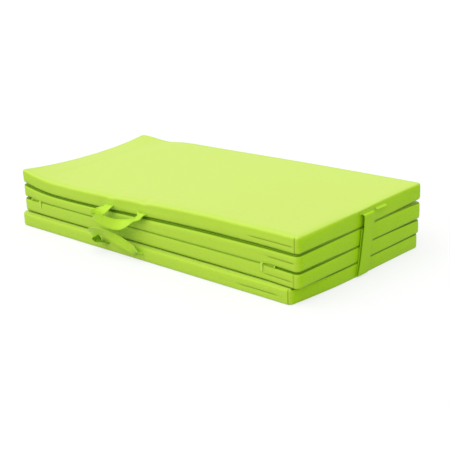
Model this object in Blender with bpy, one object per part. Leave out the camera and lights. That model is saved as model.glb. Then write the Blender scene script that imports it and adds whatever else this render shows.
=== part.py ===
"""A four panel folding mattress, folded up accordion fashion into a stack.

Each panel is a foam core in a sewn cover of coated fabric. The panels are joined in turn at the back, at the
front and at the back again: by fabric strips at the back, and at the front by a zip with two sliders. Ribbon
handles are sewn to the free front edges, and a closing strap hangs down the right-hand end.
+X is the long way, to the right, -Y is the front and +Z is up. The origin is the centre of the base.
"""

import math

import bmesh
import bpy
from mathutils import Matrix, Vector

# Driving sizes of the whole mattress, in metres
length = 1.200  # the long side of a panel
depth = 0.600  # the short side of a panel, from its front edge to its back edge
pitch = 0.050  # the thickness of one panel in the stack
clearance = 0.0003  # the gap between pieces that touch

# The covers
wall = 0.0010  # coated fabric with its lining
edge_radius = 0.009  # how softly the long and short edges turn over
corner_radius = 0.014  # the upright corners, seen from above
seam_depth = 0.0010  # how far the seam half way up the sides is drawn in
side_draw = 0.0030  # how far the short sides are drawn in between their corners
top_crown = 0.0050  # the rise of the uppermost face to its middle
sag_depth = 0.0160  # how far the uppermost face sags, at the front edge
sag_foot = 0.104  # below this height nothing sags
sag_at = -0.420  # where along the front it sags most
sag_run = 0.750  # from there to where the sag ends, on the right
end_dip = 0.0120  # how far the left-hand end dips between its two corners
end_dip_length = 0.200
back_rise = 0.0120  # how far the fold at the back holds the uppermost face up, at its right-hand end
draw_length = 0.260  # how far in from an end its drawing in reaches
bottom_front_reach = 0.010  # the bottom panel stands out this far in front of the others
bottom_left_reach = 0.012  # and this far beyond them at the left

# The folds at the back
strip_thickness = 0.0008
strip_height = 0.044
back_fold_out = 0.0020  # the fold axis stands this far outside the back faces

# The zip at the front fold
zip_fold_out = 0.0060  # the fold axis stands this far outside the front faces
zip_left_margin = 0.040  # from the left-hand end of the panels to the end of the zip
zip_right_margin = 0.080
tape_thickness = 0.0006
tape_width = 0.0170
tape_sink = 0.0012  # the tapes' backs lie this far behind the front faces, in the groove of the fold
row_height = 0.0023
row_thickness = 0.0021
stop_length = 0.0040
left_slider_margin = 0.089  # from the left-hand end of the panels
right_slider_margin = 0.127
slider_length = 0.0100
slider_plate = 0.0009
slider_flange = 0.0008
stud_radius = 0.0010
stud_head_radius = 0.0020
stud_head_thickness = 0.0006
pull_length = 0.0220
pull_width = 0.0070
pull_thickness = 0.0008
pull_eye_radius = 0.0014

# The ribbon handles
ribbon_width = 0.034
ribbon_thickness = 0.0016
handle_spacing = 0.148  # between the middles of a handle's two sewn ends
upper_handle_at = -0.080
lower_handle_at = -0.1025
upper_handle_up = 0.0100  # its sewn ends, above the underside of the top panel
lower_handle_up = 0.0290  # its sewn ends, above the base
upper_handle_reach = 0.050  # how far it stands out from the face
lower_handle_reach = 0.040
upper_handle_drop = 0.042  # how far the upper handle's bow hangs below its sewn ends
lower_handle_rise = 0.050  # how far the lower handle's bow stands above its sewn ends
handle_hinge_out = 0.0013  # the line a handle swings about, out from the face it is sewn to

# The closing strap and the tab on the right-hand end
strap_width = 0.050
strap_thickness = 0.0015
strap_across = 0.023  # the middle of the strap, back from the middle of the end
strap_root_drop = 0.0130  # the strap's sewn end, below the uppermost face
strap_bow = 0.0090  # how far the strap stands out where it turns down
strap_bow_radius = 0.0040
strap_hem_gap = 0.0016  # between the two plies
strap_foot_gap = 0.0040  # the strap's lower end stops this far above the base
strap_hinge_out = 0.0050  # the line the strap lifts about, out from the face it is sewn to
strap_slant = 0.030  # how far the strap's lower end hangs over to the front
inner_ply_top_drop = 0.030  # the inner ply ends this far below the turn
hook_length = 0.032
patch_thickness = 0.0012
patch_side_margin = 0.0040
anchor_width = 0.065
anchor_height = 0.0070
anchor_thickness = 0.0016
tab_width = 0.050
tab_gap = 0.016  # between the strap and the tab
tab_height = 0.0130
tab_stand = 0.0060  # how far the tab's lower lip stands out
tab_drop = 0.0050  # the tab's sewn edge, below the uppermost face

# Counts
corner_steps = 4  # along a quarter turn of an upright corner; even
long_steps = 10
short_steps = 5
edge_steps = 2
ribbon_steps = 32

panel_thickness = pitch - clearance
front = -depth / 2
back = depth / 2
left = -length / 2
right = length / 2
stack_height = 4 * pitch


def clear_the_file():
    for thing in list(bpy.data.objects):
        bpy.data.objects.remove(thing, do_unlink=True)


def finish(name, base, roughness, metallic=0.0):
    """A plain material in the photographed colour."""
    material = bpy.data.materials.new(name)
    material.use_nodes = True
    shader = material.node_tree.nodes["Principled BSDF"]
    shader.inputs["Base Color"].default_value = (*base, 1)
    shader.inputs["Roughness"].default_value = roughness
    shader.inputs["Metallic"].default_value = metallic
    return material


def lime_cover(name):
    return finish(name, (0.42, 0.66, 0.03), 0.45)


def lime_ribbon(name):
    return finish(name, (0.46, 0.70, 0.05), 0.6)


def foam(name):
    return finish(name, (0.85, 0.83, 0.72), 0.95)


def lime_plastic(name):
    return finish(name, (0.40, 0.62, 0.04), 0.4)


def lime_metal(name):
    return finish(name, (0.46, 0.66, 0.12), 0.35, 0.4)


def make_object(name, shape, material, smooth=True, sharp=math.radians(40)):
    """Turns a bmesh into the named object with its own material."""
    bmesh.ops.recalc_face_normals(shape, faces=shape.faces)
    if shape.calc_volume(signed=True) < 0:
        bmesh.ops.reverse_faces(shape, faces=shape.faces)
    mesh = bpy.data.meshes.new(name)
    shape.to_mesh(mesh)
    shape.free()
    if smooth:
        mesh.shade_smooth()
        mesh.set_sharp_from_angle(angle=sharp)
    mesh.materials.append(material(name + "_finish"))
    thing = bpy.data.objects.new(name, mesh)
    bpy.context.scene.collection.objects.link(thing)
    return thing


def pivot(thing, point):
    """Moves an object's origin to a point on its joint's axis, with its mesh left in place."""
    thing.data.transform(Matrix.Translation(-Vector(point)))
    thing.location = point


# How much of the sag is left at the left-hand end and at the back edge
left_sag_share = 0.35
back_sag_share = 0.35


def settled(x, y, z):
    """Where a point of the flat stack goes: its upper half sags towards the left-hand end of the front."""
    height_share = max(0.0, (z - sag_foot) / (stack_height - sag_foot))
    if x < sag_at:
        along_share = 1 - (1 - left_sag_share) * ((sag_at - x) / (sag_at - left)) ** 2
    else:
        along_share = 0.5 + 0.5 * math.cos(math.pi * min((x - sag_at) / sag_run, 1.0))
    across_share = back_sag_share + (1 - back_sag_share) * (0.5 - y / depth)
    dip_share = max(0.0, (left + end_dip_length - x) / end_dip_length) ** 2 * (1 - (2 * y / depth) ** 2)
    drop = sag_depth * along_share * across_share + end_dip * dip_share
    rise = back_rise * max(0.0, 2 * y / depth) * min(1.0, max(0.0, 0.5 + x / length))
    return Vector((x, y, z - height_share * (drop - rise)))


# One panel's cover and foam, and the least corner radius that is left where they are drawn in
inner_corner_share = 0.5


def outline(inset, reaches):
    """The plan of a panel drawn in by an inset, as four runs of points: front, right, back and left.

    reaches is how far it stands out in front and at the left.

    The corners are quarter circles, each shared by the two runs that meet in its middle."""
    radius = max(corner_radius - inset, corner_radius * inner_corner_share)
    front_reach, left_reach = reaches
    low_x, high_x = left - left_reach + inset, right - inset
    low_y, high_y = front - front_reach + inset, back - inset
    middles = [
        Vector((low_x + radius, low_y + radius)),
        Vector((high_x - radius, low_y + radius)),
        Vector((high_x - radius, high_y - radius)),
        Vector((low_x + radius, high_y - radius)),
    ]
    runs = []
    for side, count in enumerate((long_steps, short_steps, long_steps, short_steps)):
        start = math.radians(-135 + 90 * side)
        points = []
        for step in range(corner_steps // 2 + 1):
            turn = start + math.radians(90) * step / corner_steps
            points.append(middles[side] + radius * Vector((math.cos(turn), math.sin(turn))))
        end = middles[(side + 1) % 4]
        for step in range(count):
            share = (step + 1) / count
            square = math.radians(-90 + 90 * side)
            reach = radius * Vector((math.cos(square), math.sin(square)))
            points.append(middles[side].lerp(end, share) + reach)
        for step in range(1, corner_steps // 2 + 1):
            turn = math.radians(-90 + 90 * side) + math.radians(90) * step / corner_steps
            points.append(end + radius * Vector((math.cos(turn), math.sin(turn))))
        runs.append(points)
    return runs


def drawn_in(point):
    """Draws the short sides in between their corners."""
    x, y = point
    from_end = length / 2 - abs(x)
    near = max(0.0, 1 - from_end / draw_length)
    bow = side_draw * near * (1 - (2 * y / depth) ** 2)
    return Vector((x - math.copysign(bow, x), y))


def side_profile(low, high, inset, seam):
    """The side of a panel from its lower edge to its upper edge, as (how far drawn in, height)."""
    radius = edge_radius
    middle = (low + high) / 2
    pairs = []
    for step in range(edge_steps + 1):
        turn = math.radians(90) * step / edge_steps
        pairs.append((inset + radius * (1 - math.sin(turn)), low + radius * (1 - math.cos(turn))))
    pairs.append((inset + seam, middle))
    for step in range(edge_steps + 1):
        turn = math.radians(90) * (1 - step / edge_steps)
        pairs.append((inset + radius * (1 - math.sin(turn)), high - radius * (1 - math.cos(turn))))
    return pairs


def skin(shape, level, inset, reaches, crown):
    """Adds one closed cushion skin to the mesh, drawn in by an inset, and returns its rings of points.

    level counts the panels from the base. The skin's caps are grids between its four runs of edge points."""
    low = level * pitch + inset
    high = level * pitch + panel_thickness - inset
    rings = []
    for drawn, height in side_profile(low, high, inset, seam_depth):
        ring = []
        for run in outline(drawn, reaches):
            for point in run[:-1]:
                x, y = drawn_in(point)
                ring.append(shape.verts.new(settled(x, y, height)))
        rings.append(ring)
    for below, above in zip(rings, rings[1:]):
        for step in range(len(below)):
            after = (step + 1) % len(below)
            shape.faces.new((below[step], below[after], above[after]))
            shape.faces.new((below[step], above[after], above[step]))
    cap(shape, rings[0], low, 0.0, True)
    cap(shape, rings[-1], high, crown, False)
    return rings


def cap(shape, ring, height, crown, downward):
    """Closes a ring of points with a grid, which rises to a crown in its middle."""
    across = long_steps + corner_steps
    along = short_steps + corner_steps
    fronts = ring[: across + 1]
    rights = ring[across : across + along + 1]
    backs = ring[across + along : 2 * across + along + 1][::-1]
    lefts = (ring[2 * across + along :] + ring[:1])[::-1]
    grid = [[None] * (along + 1) for _ in range(across + 1)]
    for i in range(across + 1):
        grid[i][0], grid[i][along] = fronts[i], backs[i]
    for j in range(along + 1):
        grid[0][j], grid[across][j] = lefts[j], rights[j]
    for i in range(1, across):
        for j in range(1, along):
            s, t = i / across, j / along
            low_y, high_y = fronts[i].co, backs[i].co
            low_x, high_x = lefts[j].co, rights[j].co
            x = (low_y.x + high_y.x) / 2
            y = (low_x.y + high_x.y) / 2
            rise = crown * math.sin(math.pi * s) ** 0.6 * math.sin(math.pi * t) ** 0.6
            grid[i][j] = shape.verts.new(settled(x, y, height + rise))
    for i in range(across):
        for j in range(along):
            near, right_hand, far, left_hand = grid[i][j], grid[i + 1][j], grid[i + 1][j + 1], grid[i][j + 1]
            for corners in ((near, right_hand, far), (near, far, left_hand)):
                shape.faces.new(corners[::-1] if downward else corners)


def open_slot(shape, outer, inner, run, row):
    """Opens both skins along the straight of one long side, in one row of faces, and joins the two rims."""
    start = corner_steps // 2
    first = {"front": start, "back": start + long_steps + short_steps + 2 * corner_steps}[run]
    spans = range(first + 1, first + long_steps - 1)
    for rings in (outer, inner):
        for step in spans:
            corners = {rings[row][step], rings[row][step + 1], rings[row + 1][step], rings[row + 1][step + 1]}
            for face in list(rings[row][step].link_faces):
                if set(face.verts) <= corners:
                    shape.faces.remove(face)
    loop = [(row, step) for step in range(spans[0], spans[-1] + 2)]
    loop += [(row + 1, step) for step in range(spans[-1] + 1, spans[0] - 1, -1)]
    for here, there in zip(loop, loop[1:] + loop[:1]):
        corners = [outer[here[0]][here[1]], outer[there[0]][there[1]]]
        corners += [inner[there[0]][there[1]], inner[here[0]][here[1]]]
        shape.faces.new(corners)
    loose = [edge for edge in shape.edges if not edge.link_faces]
    bmesh.ops.delete(shape, geom=loose, context="EDGES")


def add_cover(name, level, fold_side, fold_above, reaches=(0, 0), crown=0.0):
    """A sewn cover: two skins a wall apart, open at its fold for the foam."""
    shape = bmesh.new()
    outer = skin(shape, level, 0.0, reaches, crown)
    inner = skin(shape, level, wall, reaches, crown)
    row = edge_steps + 1 if fold_above else edge_steps
    open_slot(shape, outer, inner, fold_side, row)
    return make_object(name, shape, lime_cover)


def add_foam(name, level, reaches=(0, 0), crown=0.0):
    shape = bmesh.new()
    skin(shape, level, wall + clearance, reaches, crown)
    return make_object(name, shape, foam)


# Strips, tapes, rows and ribbons

def swept(stations):
    """A closed bar through a list of stations, each a list of corner points in the same order."""
    shape = bmesh.new()
    rings = [[shape.verts.new(point) for point in station] for station in stations]
    for before, after in zip(rings, rings[1:]):
        count = len(before)
        for step in range(count):
            nxt = (step + 1) % count
            shape.faces.new((before[step], after[step], after[nxt], before[nxt]))
    shape.faces.new(rings[0][::-1])
    shape.faces.new(rings[-1])
    return shape


def along_x(profile, low_x, high_x, steps):
    """Sweeps a profile of (y, z) points along X, and lets each station settle with the stack."""
    stations = []
    for step in range(steps + 1):
        x = low_x + (high_x - low_x) * step / steps
        stations.append([settled(x, y, z) for y, z in profile])
    return swept(stations)


def across_y(profile, middle, width):
    """Sweeps a profile of (x, z) points along Y."""
    stations = [[Vector((x, y, z)) for x, z in profile] for y in (middle - width / 2, middle + width / 2)]
    return swept(stations)


def band(path, thickness):
    """The outline of a strip that follows a path of (a, b) points, to one side of it."""
    points = [Vector(point) for point in path]
    offset = []
    for step, point in enumerate(points):
        before = points[max(step - 1, 0)]
        after = points[min(step + 1, len(points) - 1)]
        into = (point - before).normalized() if step else (after - point).normalized()
        out = (after - point).normalized() if step < len(points) - 1 else into
        middle = (into + out).normalized()
        square = Vector((-middle.y, middle.x))
        stretch = max(middle.dot(into), 0.5)
        offset.append(point + square * thickness / stretch)
    return [tuple(p) for p in points] + [tuple(p) for p in reversed(offset)]


def add_fold_strip(name, level):
    """The fabric strip sewn over a fold at the back, from one panel's back face to the next."""
    fold = level * pitch
    near = back + clearance
    far = near + strip_thickness
    low, high = fold - strip_height / 2, fold + strip_height / 2
    shape = along_x([(near, low), (far, low), (far, high), (near, high)], left + corner_radius * 2,
                    right - corner_radius * 2, long_steps * 2)
    return make_object(name, shape, lime_cover)


zip_z = 2 * pitch
zip_left_end = left + zip_left_margin
zip_right_end = right - zip_right_margin
tape_back = front + tape_sink
tape_front = tape_back - tape_thickness
row_back = tape_front - clearance
row_front = row_back - row_thickness
half_gap = clearance / 2


def add_zip_tape(name, side):
    """One tape of the zip: flat behind its row, then back to the cover where it is sewn. side is up or down."""
    inner = zip_z + side * half_gap
    bend = zip_z + side * (half_gap + row_height + clearance)
    sewn = zip_z + side * (edge_radius + clearance)
    outer = zip_z + side * tape_width
    path = [(tape_back, inner), (tape_back, bend), (front - clearance, sewn), (front - clearance, outer)]
    profile = band(path, side * tape_thickness)
    shape = along_x(profile, zip_left_end, zip_right_end, long_steps)
    return make_object(name, shape, lime_ribbon)


def add_zip_row(name, side):
    """One row of the zip, the half of the chain that is sewn to one tape."""
    inner = zip_z + side * half_gap
    outer = inner + side * row_height
    bevel = row_thickness / 3
    profile = [(row_back, inner), (row_back, outer), (row_front + bevel, outer),
               (row_front, outer - side * bevel), (row_front, inner)]
    margin = stop_length + clearance
    shape = along_x(profile, zip_left_end + margin, zip_right_end - margin, long_steps)
    return make_object(name, shape, lime_plastic)


def add_zip_stop(name, low_x):
    """An end stop, clamped over the ends of both rows."""
    shape = bmesh.new()
    size = (stop_length, row_thickness, 2 * row_height)
    middle = (low_x + stop_length / 2, row_back - row_thickness / 2, zip_z)
    bmesh.ops.create_cube(shape, size=1, matrix=Matrix.Translation(middle) @ Matrix.Diagonal((*size, 1)))
    return make_object(name, shape, lime_metal, smooth=False)


slider_inner_half = half_gap + row_height + clearance
slider_outer_half = slider_inner_half + slider_flange
slider_plate_back = row_front - clearance
slider_plate_front = slider_plate_back - slider_plate
pull_back = slider_plate_front - clearance
stud_head_back = pull_back - pull_thickness - clearance


def add_slider(name, middle, tail):
    """A slider: a channel that straddles both rows, with a headed stud that carries the pull.

    tail is the way its narrow end points along X."""
    shape = bmesh.new()
    stations = []
    for share, narrow in ((-0.5, 0.8), (-0.2, 1.0), (0.5, 1.0)):
        x = middle - tail * share * slider_length
        over = slider_inner_half + slider_flange * narrow
        stations.append([
            Vector((x, row_back, zip_z - over)),
            Vector((x, slider_plate_front, zip_z - over)),
            Vector((x, slider_plate_front, zip_z + over)),
            Vector((x, row_back, zip_z + over)),
            Vector((x, row_back, zip_z + slider_inner_half)),
            Vector((x, slider_plate_back, zip_z + slider_inner_half)),
            Vector((x, slider_plate_back, zip_z - slider_inner_half)),
            Vector((x, row_back, zip_z - slider_inner_half)),
        ])
    rings = [[shape.verts.new(point) for point in station] for station in stations]
    for before, after in zip(rings, rings[1:]):
        for step in range(8):
            nxt = (step + 1) % 8
            shape.faces.new((before[step], after[step], after[nxt], before[nxt]))
    for ring in (rings[0], rings[-1]):
        shape.faces.new((ring[0], ring[1], ring[6], ring[7]))
        shape.faces.new((ring[1], ring[2], ring[5], ring[6]))
        shape.faces.new((ring[2], ring[3], ring[4], ring[5]))
    body = make_object(name, shape, lime_metal)
    stud = bmesh.new()
    profile = [
        (0, slider_plate_front + slider_plate / 2),
        (stud_radius, slider_plate_front + slider_plate / 2),
        (stud_radius, stud_head_back),
        (stud_head_radius, stud_head_back),
        (stud_head_radius, stud_head_back - stud_head_thickness),
        (0, stud_head_back - stud_head_thickness),
    ]
    turned(stud, profile, middle, zip_z)
    stud_object = make_object(name + "_stud", stud, lime_metal)
    join = body.modifiers.new("stud", "BOOLEAN")
    join.operation = "UNION"
    join.solver = "EXACT"
    join.object = stud_object
    stud_object.hide_render = True
    stud_object.display_type = "WIRE"
    return body


def turned(shape, profile, x, z, sides=12):
    """A turned shape about an axis along Y through (x, z). profile is (radius, y) from axis to axis."""
    rings = []
    for radius, y in profile:
        if radius == 0:
            rings.append([shape.verts.new((x, y, z))])
            continue
        ring = []
        for step in range(sides):
            turn = 2 * math.pi * step / sides
            ring.append(shape.verts.new((x + radius * math.cos(turn), y, z + radius * math.sin(turn))))
        rings.append(ring)
    for before, after in zip(rings, rings[1:]):
        for step in range(sides):
            nxt = (step + 1) % sides
            if len(before) == 1:
                shape.faces.new((before[0], after[step], after[nxt]))
            elif len(after) == 1:
                shape.faces.new((before[step], after[0], before[nxt]))
            else:
                shape.faces.new((before[step], after[step], after[nxt], before[nxt]))


def add_pull(name, middle):
    """A pull tab that hangs on the slider's stud: rounded at its eye, with a wider rounded foot."""
    rim = pull_width / 2
    foot = zip_z - pull_length + rim
    outer = []
    half = 8
    for step in range(half + 1):
        turn = math.pi * step / half
        outer.append((middle + rim * math.cos(turn), zip_z + rim * math.sin(turn)))
    for step in range(half + 1):
        turn = math.pi + math.pi * step / half
        outer.append((middle + rim * math.cos(turn), foot + rim * math.sin(turn)))
    count = len(outer)
    eye = []
    for x, z in outer:
        away = Vector((x - middle, z - zip_z)).normalized() * pull_eye_radius
        eye.append((middle + away.x, zip_z + away.y))
    shape = bmesh.new()
    layers = []
    for y in (pull_back, pull_back - pull_thickness):
        layers.append(([shape.verts.new((x, y, z)) for x, z in outer],
                       [shape.verts.new((x, y, z)) for x, z in eye]))
    (back_rim, back_eye), (front_rim, front_eye) = layers
    for step in range(count):
        nxt = (step + 1) % count
        shape.faces.new((back_rim[step], back_rim[nxt], front_rim[nxt], front_rim[step]))
        shape.faces.new((back_eye[nxt], back_eye[step], front_eye[step], front_eye[nxt]))
        shape.faces.new((front_rim[step], front_rim[nxt], front_eye[nxt], front_eye[step]))
        shape.faces.new((back_rim[nxt], back_rim[step], back_eye[step], back_eye[nxt]))
    pull = make_object(name, shape, lime_metal)
    pivot(pull, (middle, pull_back, zip_z))
    return pull


# The ribbon handles

def smooth_curve(points, share):
    """A point on the smooth curve through the given points, at a share of the way along their list."""
    place = share * (len(points) - 1)
    step = min(int(place), len(points) - 2)
    t = place - step
    p1, p2 = points[step], points[step + 1]
    p0 = points[step - 1] if step else p1 * 2 - p2
    p3 = points[step + 2] if step + 2 < len(points) else p2 * 2 - p1
    return 0.5 * (2 * p1 + (p2 - p0) * t + (2 * p0 - 5 * p1 + 4 * p2 - p3) * t * t
                  + (3 * p1 - p0 - 3 * p2 + p3) * t * t * t)


# Each row: along from the left end, out from the face and down, as shares of spacing, reach and drop,
# then the way the ribbon's width points there, as shares of right, out and up
upper_path_shares = [
    (0.00, 0.00, 0.00, 1.00, 0.00, 0.00),
    (0.00, 0.16, 0.00, 1.00, 0.00, 0.00),
    (-0.03, 0.32, 0.12, 0.98, 0.00, -0.12),
    (-0.10, 0.52, 0.38, 0.80, 0.00, -0.60),
    (-0.15, 0.78, 0.78, 0.35, 0.10, -0.95),
    (-0.13, 0.97, 1.02, 0.05, 0.00, -1.00),
    (0.02, 0.92, 1.05, 0.00, 0.00, -1.00),
    (0.24, 0.78, 1.06, 0.05, 0.10, -1.00),
    (0.46, 0.60, 1.00, 0.20, 0.30, -0.90),
    (0.70, 0.46, 0.76, 0.50, 0.50, -0.60),
    (0.89, 0.38, 0.36, 0.80, 0.40, -0.35),
    (0.985, 0.27, 0.06, 0.98, 0.10, -0.08),
    (1.00, 0.14, 0.00, 1.00, 0.00, 0.00),
    (1.00, 0.00, 0.00, 1.00, 0.00, 0.00),
]
lower_path_shares = [
    (0.00, 0.00, 0.00, -1.00, 0.00, 0.00),
    (0.00, 0.16, 0.00, -1.00, 0.00, 0.00),
    (0.00, 0.42, 0.12, -0.97, 0.00, 0.12),
    (-0.02, 0.72, 0.42, -0.80, -0.10, 0.30),
    (-0.05, 0.92, 0.82, -0.30, 0.20, 0.80),
    (0.06, 0.93, 0.96, 0.05, 0.30, 0.85),
    (0.26, 0.76, 0.84, 0.15, 0.10, 0.90),
    (0.50, 0.55, 0.60, 0.40, -0.15, 0.80),
    (0.77, 0.40, 0.34, 0.80, -0.10, 0.42),
    (0.95, 0.33, 0.10, 0.96, 0.00, 0.12),
    (0.995, 0.26, 0.02, 0.99, 0.00, 0.03),
    (1.00, 0.14, 0.00, 1.00, 0.00, 0.00),
    (1.00, 0.00, 0.00, 1.00, 0.00, 0.00),
]
# How far along its path a ribbon looks ahead for its direction
look_ahead_share = 0.00003


def add_handle(name, shares, middle, face_y, root_z, reach, rise):
    """A ribbon sewn down at both ends, which stands out in a twisted bow. rise is upward from its ends."""
    start = middle - handle_spacing / 2
    places, widths = [], []
    for along, out, up, right_share, out_share, up_share in shares:
        x = start + along * handle_spacing
        y = face_y - clearance - out * reach
        places.append(Vector((x, y, root_z + up * rise)))
        widths.append(Vector((right_share, -out_share, up_share)))
    stations = []
    for step in range(ribbon_steps + 1):
        share = step / ribbon_steps
        place = smooth_curve(places, share)
        ahead = smooth_curve(places, min(share + look_ahead_share, 1))
        ahead -= smooth_curve(places, max(share - look_ahead_share, 0))
        ahead.normalize()
        wide = smooth_curve(widths, share)
        wide = (wide - ahead * wide.dot(ahead)).normalized()
        thick = ahead.cross(wide)
        across, through = wide * ribbon_width / 2, thick * ribbon_thickness / 2
        stations.append([place - across - through, place + across - through,
                         place + across + through, place - across + through])
    handle = make_object(name, swept(stations), lime_ribbon, sharp=math.radians(60))
    pivot(handle, (middle, face_y - handle_hinge_out, root_z))
    return handle


# The closing strap and the tab

def end_face(far_y):
    """Where the drawn-in right-hand end face is, at the edge of a piece that lies furthest from its middle."""
    return right - side_draw * (1 - (2 * far_y / depth) ** 2)


def slanted(z):
    """How far over to the front the strap has gone at a height: it hangs in a slow curve."""
    share = max(0.0, (strap_root_z - z) / (strap_root_z - strap_foot_gap))
    return strap_slant * share ** 2


strap_root_z = stack_height - strap_root_drop
strap_face = end_face(strap_across + anchor_width / 2)
patch_face = end_face(strap_across + strap_width / 2)
patch_front = patch_face + clearance + patch_thickness


def add_strap():
    """The closing strap: sewn in at the top, turned down over a soft bow and doubled up behind itself."""
    root_x = strap_face + clearance
    outer_x = right + strap_bow - strap_bow_radius
    front_x = patch_front + patch_thickness + 2 * clearance + 2 * strap_thickness + strap_hem_gap
    path = [(root_x, strap_root_z)]
    for step in range(5):
        turn = math.radians(90 - 22.5 * step)
        path.append((outer_x + strap_bow_radius * math.cos(turn),
                     strap_root_z - strap_bow_radius + strap_bow_radius * math.sin(turn)))
    fall = path[-1][1] - strap_foot_gap
    path.append((front_x + (path[-1][0] - front_x) * 0.4, strap_foot_gap + fall * 0.55))
    path.append((front_x, strap_foot_gap + fall * 0.25))
    hem_radius = strap_hem_gap / 2 + strap_thickness
    hem_x, hem_z = front_x - hem_radius, strap_foot_gap + hem_radius
    for step in range(5):
        turn = math.radians(-45 * step)
        path.append((hem_x + hem_radius * math.cos(turn), hem_z + hem_radius * math.sin(turn)))
    inner_x = front_x - 2 * hem_radius
    path.append((inner_x, strap_foot_gap + fall * 0.25))
    path.append((inner_x + clearance, path[5][1] - inner_ply_top_drop))
    shape = across_y(band(path, -strap_thickness), strap_across, strap_width)
    for vert in shape.verts:
        vert.co.y -= slanted(vert.co.z)
    strap = make_object("closing_strap", shape, lime_ribbon)
    pivot(strap, (strap_face + strap_hinge_out, strap_across, strap_root_z + strap_thickness / 2))
    return strap


def add_patch(name, near_x, low_z):
    """A flat patch of hook or loop tape on the end face."""
    half = strap_width / 2 - patch_side_margin
    shape = bmesh.new()
    size = (patch_thickness, 2 * half, hook_length)
    high = low_z + hook_length / 2
    middle = (near_x + patch_thickness / 2, strap_across - slanted(high), high)
    bmesh.ops.create_cube(shape, size=1, matrix=Matrix.Translation(middle) @ Matrix.Diagonal((*size, 1)))
    return make_object(name, shape, lime_ribbon, smooth=False)


def add_anchor():
    """The folded tape that is sewn over the strap's end."""
    low = strap_root_z + strap_thickness + clearance
    near = strap_face + clearance
    profile = [(near, low), (near + anchor_thickness, low), (near + anchor_thickness, low + anchor_height),
               (near, low + anchor_height)]
    shape = across_y(profile, strap_across, anchor_width)
    return make_object("strap_anchor_tape", shape, lime_ribbon)


def add_tab():
    """A short ribbon tab sewn in beside the strap, folded so that its lower lip stands out."""
    high = stack_height - tab_drop - edge_radius / 2
    middle = strap_across + strap_width / 2 + tab_gap + tab_width / 2
    near = end_face(middle + tab_width / 2) + clearance
    path = [(near, high), (near + tab_stand * 0.35, high - tab_height * 0.45),
            (near + tab_stand, high - tab_height), (near + tab_stand * 0.25, high - tab_height * 0.98)]
    shape = across_y(band(path, ribbon_thickness), middle, tab_width)
    return make_object("side_tab", shape, lime_ribbon)


def build():
    clear_the_file()
    fold = back + back_fold_out
    zip_fold = front - zip_fold_out
    bottom_reaches = (bottom_front_reach, bottom_left_reach)
    add_cover("bottom_cover", 0, "back", True, bottom_reaches)
    add_foam("bottom_foam", 0, bottom_reaches)
    add_fold_strip("lower_fold_strip", 1)
    third = [add_cover("third_cover", 1, "front", True), add_foam("third_foam", 1)]
    third += [add_zip_tape("zip_lower_tape", -1), add_zip_row("zip_upper_row", 1), add_zip_row("zip_lower_row", -1)]
    third += [add_zip_stop("zip_left_stop", zip_left_end), add_zip_stop("zip_right_stop", zip_right_end - stop_length)]
    second = [add_cover("second_cover", 2, "front", False), add_foam("second_foam", 2)]
    second += [add_zip_tape("zip_upper_tape", 1), add_fold_strip("upper_fold_strip", 3)]
    top = [add_cover("top_cover", 3, "back", False, crown=top_crown), add_foam("top_foam", 3, crown=top_crown)]
    top += [add_anchor(), add_tab()]
    for pieces, axis in ((third, (0, fold, pitch)), (second, (0, zip_fold, zip_z)), (top, (0, fold, 3 * pitch))):
        for piece in pieces:
            pivot(piece, axis)
    sliders = (("left", left + left_slider_margin, 1), ("right", right - right_slider_margin, -1))
    for side, middle, tail in sliders:
        pivot(add_slider("zip_" + side + "_slider", middle, tail), (middle, row_back, zip_z))
        add_pull("zip_" + side + "_pull", middle)
    upper_root = settled(upper_handle_at, front, 3 * pitch + upper_handle_up).z
    add_handle("upper_handle", upper_path_shares, upper_handle_at, front,
               upper_root, upper_handle_reach, -upper_handle_drop)
    add_handle("lower_handle", lower_path_shares, lower_handle_at, front - bottom_front_reach,
               lower_handle_up, lower_handle_reach, lower_handle_rise)
    strap = add_strap()
    foot = strap_foot_gap + strap_hem_gap + 2 * strap_thickness
    add_patch("strap_loop_patch", patch_face + clearance, foot)
    pivot(add_patch("strap_hook_patch", patch_front + clearance, foot), strap.location)


build()
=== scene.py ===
import math

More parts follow.
